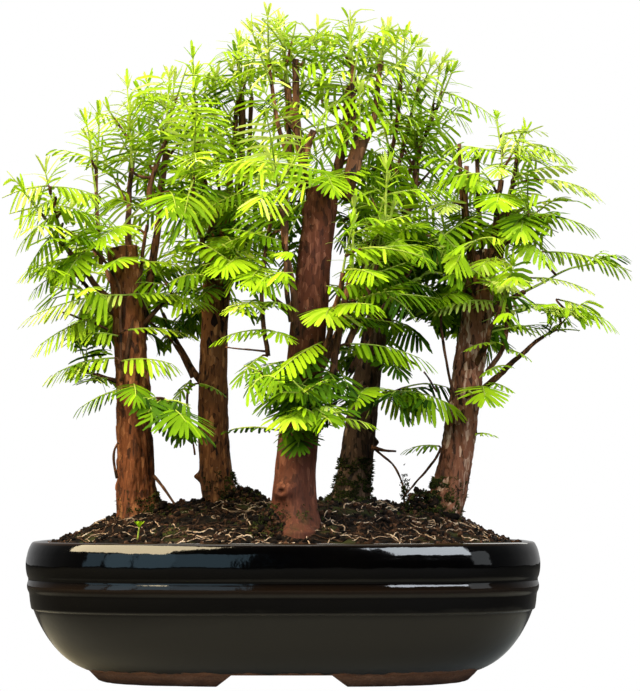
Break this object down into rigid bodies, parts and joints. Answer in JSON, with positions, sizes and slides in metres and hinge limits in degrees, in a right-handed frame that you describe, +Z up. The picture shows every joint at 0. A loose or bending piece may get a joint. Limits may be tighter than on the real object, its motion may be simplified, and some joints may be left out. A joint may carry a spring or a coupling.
{
  "type": "dawn redwood bonsai forest",
  "caption": "Potted bonsai forest of cut-top dawn redwood trunks with upright shoots and feathery sprays, set in mounded soil in an oval glazed pot on low feet.",
  "frame": {"origin": "on the standing plane under the middle of the whole plant's outline", "axes": "+Z up along the plant's height, its longest extent; the front of the pot faces -Y; the pot's long side runs along X"},
  "size_m": [0.377, 0.2502, 0.3924],
  "materials": {
    "glaze": "glossy black glaze",
    "clay": "unglazed reddish brown clay",
    "soil": "coarse dark soil with roots and moss",
    "bark": "reddish brown flaking bark",
    "needles": "soft satin needles"
  },
  "bodies": {
    "root": {"pot": "glaze", "soil": "soil", "back_left_trunk": "bark", "back_right_trunk": "bark", "centre_trunk": "bark", "left_trunk": "bark", "right_trunk": "bark", "back_left_crown_bough": "bark", "back_left_out_bough": "bark", "back_right_crown_bough": "bark", "back_right_mid_bough": "bark", "centre_crown_bough": "bark", "centre_far_right_bough": "bark", "centre_leader_bough": "bark", "centre_left_bough": "bark", "centre_right_bough": "bark", "left_arch_bough": "bark", "left_crown_bough": "bark", "left_leader_bough": "bark", "right_crown_bough": "bark", "right_far_bough": "bark", "right_low_out_bough": "bark", "right_mid_bough": "bark", "back_left_crown_foliage": "needles", "back_left_front_foliage": "needles", "back_left_low_foliage": "needles", "back_left_out_foliage": "needles", "back_left_rear_foliage": "needles", "back_right_crown_foliage": "needles", "back_right_low_foliage": "needles", "back_right_low_rear_foliage": "needles", "back_right_mid_foliage": "needles", "back_right_rear_foliage": "needles", "centre_crown_foliage": "needles", "centre_far_right_foliage": "needles", "centre_leader_foliage": "needles", "centre_left_foliage": "needles", "centre_left_low_foliage": "needles", "centre_low_front_foliage": "needles", "centre_low_left_foliage": "needles", "centre_right_foliage": "needles", "left_arch_foliage": "needles", "left_crown_foliage": "needles", "left_inner_foliage": "needles", "left_leader_foliage": "needles", "left_low_foliage": "needles", "left_mid_foliage": "needles", "left_rear_foliage": "needles", "left_rear_low_foliage": "needles", "left_skirt_foliage": "needles", "right_crown_foliage": "needles", "right_far_foliage": "needles", "right_high_out_foliage": "needles", "right_inner_foliage": "needles", "right_low_foliage": "needles", "right_low_out_foliage": "needles", "right_mid_foliage": "needles", "right_rear_foliage": "needles", "right_rear_low_foliage": "needles"}
  },
  "joints": []
}
